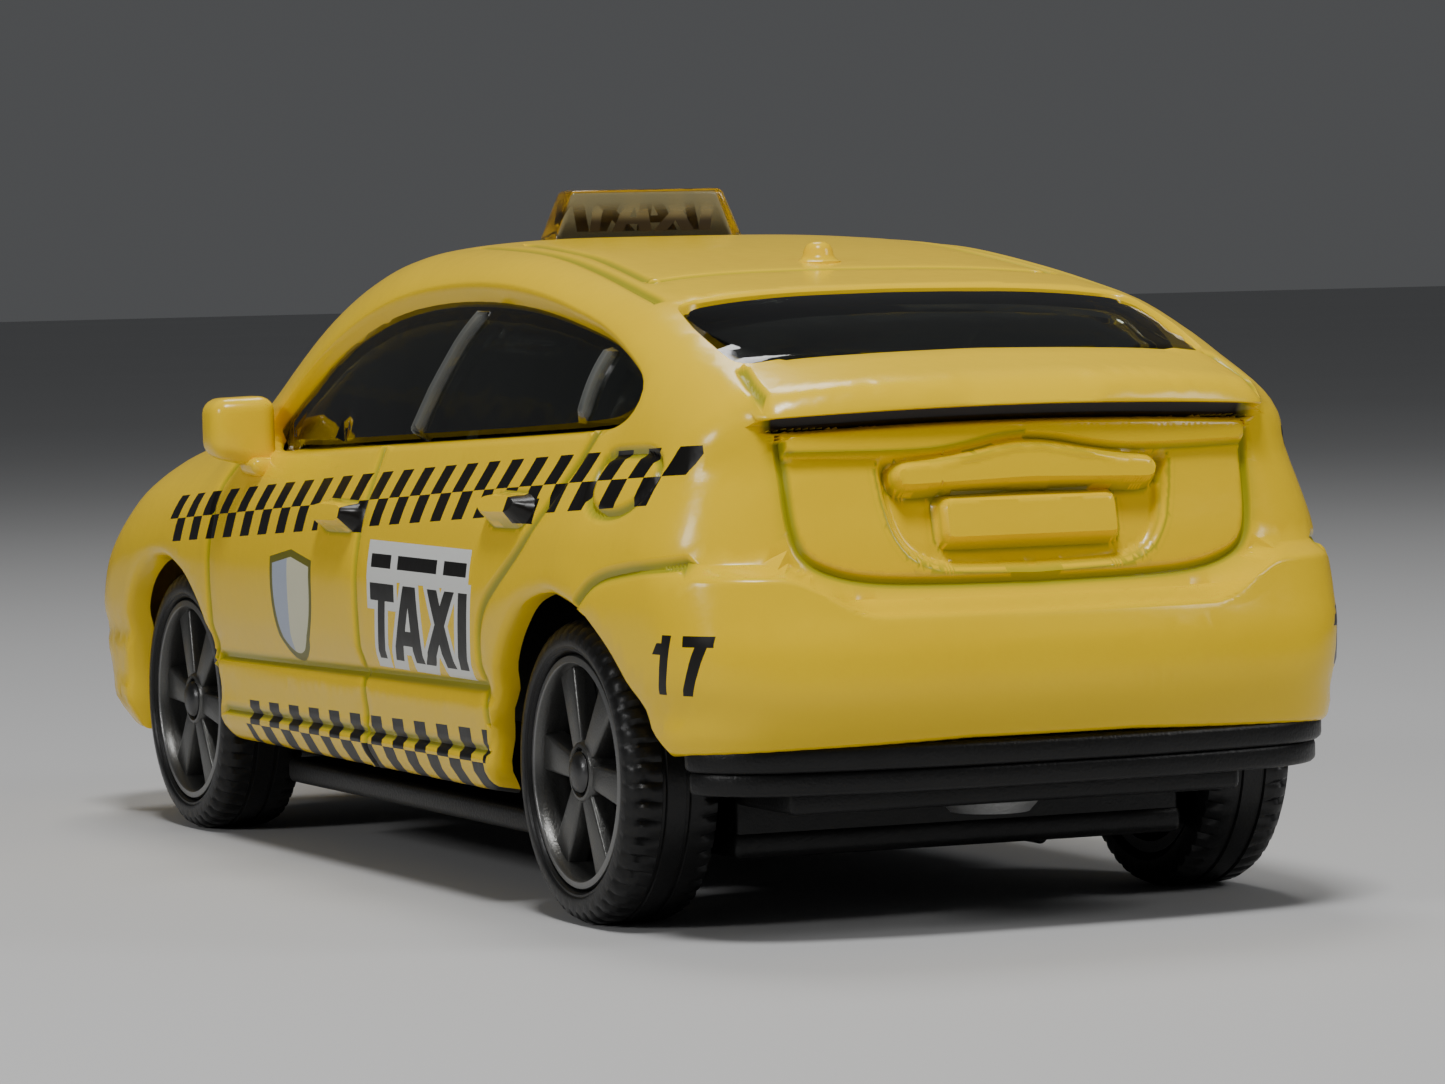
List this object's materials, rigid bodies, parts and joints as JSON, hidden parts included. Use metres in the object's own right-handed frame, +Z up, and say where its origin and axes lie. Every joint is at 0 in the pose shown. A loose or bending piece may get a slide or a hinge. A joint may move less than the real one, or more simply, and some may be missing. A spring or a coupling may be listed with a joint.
{
  "type": "diecast toy taxi",
  "caption": "Small diecast five-door hatchback taxi with a roof sign, tinted windows, cabin interior, plastic chassis and free-rolling wheels on steel axles.",
  "frame": {"origin": "on the ground, under the centre of the car", "axes": "+Y towards the car's front, +X towards its right side, +Z up"},
  "size_m": [0.0322, 0.069, 0.0261],
  "materials": {
    "body_paint": "bright yellow gloss enamel over zinc, with black printed checks and markings",
    "chassis_plastic": "black moulded plastic, fine satin grain",
    "tinted_window": "smoke-tinted clear moulding",
    "interior_plastic": "dark moulded plastic",
    "sign_clear": "clear smoke-amber block with dark print",
    "axle_steel": "drawn steel wire",
    "rivet_zinc": "spun-over zinc head",
    "rim_gunmetal": "dark metallic plastic",
    "tyre_black": "semi-gloss black moulded plastic with shoulder notches"
  },
  "bodies": {
    "car": {"body_shell": "body_paint", "base_plate": "chassis_plastic", "window_unit": "tinted_window", "interior_tray": "interior_plastic", "roof_sign": "sign_clear", "rivet_front": "rivet_zinc", "rivet_rear": "rivet_zinc"},
    "front_axle": {"axle_front": "axle_steel"},
    "rear_axle": {"axle_rear": "axle_steel"},
    "wheel_front_left": {"rim_front_left": "rim_gunmetal", "tyre_front_left": "tyre_black"},
    "wheel_front_right": {"rim_front_right": "rim_gunmetal", "tyre_front_right": "tyre_black"},
    "wheel_rear_left": {"rim_rear_left": "rim_gunmetal", "tyre_rear_left": "tyre_black"},
    "wheel_rear_right": {"rim_rear_right": "rim_gunmetal", "tyre_rear_right": "tyre_black"}
  },
  "joints": [
    {"name": "front_axle_spin", "type": "hinge", "parent": "car", "child": "front_axle", "pos_m": [0, 0.0207, 0.0054], "axis": [1, 0, 0], "continuous": true},
    {"name": "rear_axle_spin", "type": "hinge", "parent": "car", "child": "rear_axle", "pos_m": [0, -0.0218, 0.0054], "axis": [1, 0, 0], "continuous": true},
    {"name": "front_left_wheel_spin", "type": "hinge", "parent": "front_axle", "child": "wheel_front_left", "pos_m": [-0.0113, 0.0207, 0.0054], "axis": [1, 0, 0], "continuous": true},
    {"name": "front_right_wheel_spin", "type": "hinge", "parent": "front_axle", "child": "wheel_front_right", "pos_m": [0.0113, 0.0207, 0.0054], "axis": [1, 0, 0], "continuous": true},
    {"name": "rear_left_wheel_spin", "type": "hinge", "parent": "rear_axle", "child": "wheel_rear_left", "pos_m": [-0.0113, -0.0218, 0.0054], "axis": [1, 0, 0], "continuous": true},
    {"name": "rear_right_wheel_spin", "type": "hinge", "parent": "rear_axle", "child": "wheel_rear_right", "pos_m": [0.0113, -0.0218, 0.0054], "axis": [1, 0, 0], "continuous": true}
  ]
}
